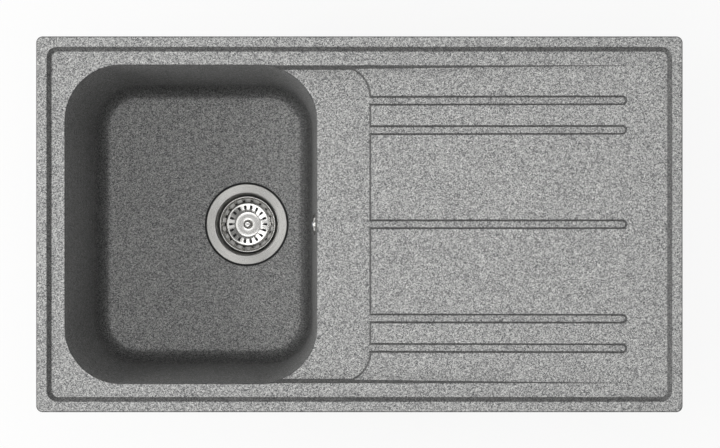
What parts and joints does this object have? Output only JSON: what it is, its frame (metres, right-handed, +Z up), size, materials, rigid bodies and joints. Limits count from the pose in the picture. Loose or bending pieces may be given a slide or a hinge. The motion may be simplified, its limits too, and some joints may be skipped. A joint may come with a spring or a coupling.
{
  "type": "kitchen sink with drainboard",
  "caption": "Inset stone composite kitchen sink with one bowl, a grooved drainboard, a lift-out basket strainer waste, an overflow and swinging rim clamps.",
  "frame": {"origin": "centre of the rim's 860 by 500 outline, on the worktop's top face, where the rim's flat underside rests", "axes": "+X from the bowl to the drainboard, +Y to the back, +Z up out of the worktop"},
  "size_m": [0.86, 0.5, 0.277],
  "materials": {
    "stone_composite": "matt, fine grained",
    "brushed_stainless": "brushed in circles",
    "polished_stainless": "polished",
    "zinc_steel": "zinc plated",
    "brass": "turned",
    "black_rubber": "moulded",
    "foam_strip": "foamed",
    "white_plastic": "moulded polypropylene"
  },
  "bodies": {
    "sink": {"sink_body": "stone_composite", "rim_seal": "foam_strip", "clamp_inserts": "brass", "clamp_screws": "zinc_steel", "strainer_dish": "brushed_stainless", "flange_gasket": "black_rubber", "waste_gasket": "black_rubber", "waste_body": "white_plastic", "waste_insert": "brass", "centre_screw": "zinc_steel", "overflow_cover": "polished_stainless", "overflow_screw": "zinc_steel", "overflow_gasket": "black_rubber", "overflow_housing": "white_plastic", "overflow_pipe": "white_plastic", "overflow_nut_upper": "white_plastic", "overflow_seal_upper": "black_rubber", "overflow_nut_lower": "white_plastic", "overflow_seal_lower": "black_rubber"},
    "basket": {"basket_cup": "polished_stainless", "basket_knob": "polished_stainless", "basket_seal": "black_rubber", "basket_washer": "zinc_steel", "basket_peg": "white_plastic"},
    "claw_back_1": {"clamp_claw_back_1": "zinc_steel"},
    "claw_back_2": {"clamp_claw_back_2": "zinc_steel"},
    "claw_back_3": {"clamp_claw_back_3": "zinc_steel"},
    "claw_left": {"clamp_claw_left": "zinc_steel"},
    "claw_front_1": {"clamp_claw_front_1": "zinc_steel"},
    "claw_front_2": {"clamp_claw_front_2": "zinc_steel"},
    "claw_front_3": {"clamp_claw_front_3": "zinc_steel"},
    "claw_right": {"clamp_claw_right": "zinc_steel"}
  },
  "joints": [
    {"name": "basket_lift", "type": "slide", "parent": "sink", "child": "basket", "axis": [0, 0, 1], "range_m": [0, 0.24]},
    {"name": "claw_swing_back_1", "type": "hinge", "parent": "sink", "child": "claw_back_1", "pos_m": [-0.3, 0.229, -0.047], "axis": [0, 0, 1], "range_deg": [0, 90]},
    {"name": "claw_swing_back_2", "type": "hinge", "parent": "sink", "child": "claw_back_2", "pos_m": [0, 0.229, -0.047], "axis": [0, 0, 1], "range_deg": [0, 90]},
    {"name": "claw_swing_back_3", "type": "hinge", "parent": "sink", "child": "claw_back_3", "pos_m": [0.3, 0.229, -0.047], "axis": [0, 0, 1], "range_deg": [0, 90]},
    {"name": "claw_swing_left", "type": "hinge", "parent": "sink", "child": "claw_left", "pos_m": [-0.409, 0, -0.047], "axis": [0, 0, 1], "range_deg": [0, 90]},
    {"name": "claw_swing_front_1", "type": "hinge", "parent": "sink", "child": "claw_front_1", "pos_m": [-0.3, -0.229, -0.047], "axis": [0, 0, 1], "range_deg": [0, 90]},
    {"name": "claw_swing_front_2", "type": "hinge", "parent": "sink", "child": "claw_front_2", "pos_m": [0, -0.229, -0.047], "axis": [0, 0, 1], "range_deg": [0, 90]},
    {"name": "claw_swing_front_3", "type": "hinge", "parent": "sink", "child": "claw_front_3", "pos_m": [0.3, -0.229, -0.047], "axis": [0, 0, 1], "range_deg": [0, 90]},
    {"name": "claw_swing_right", "type": "hinge", "parent": "sink", "child": "claw_right", "pos_m": [0.409, 0, -0.047], "axis": [0, 0, 1], "range_deg": [0, 90]}
  ]
}
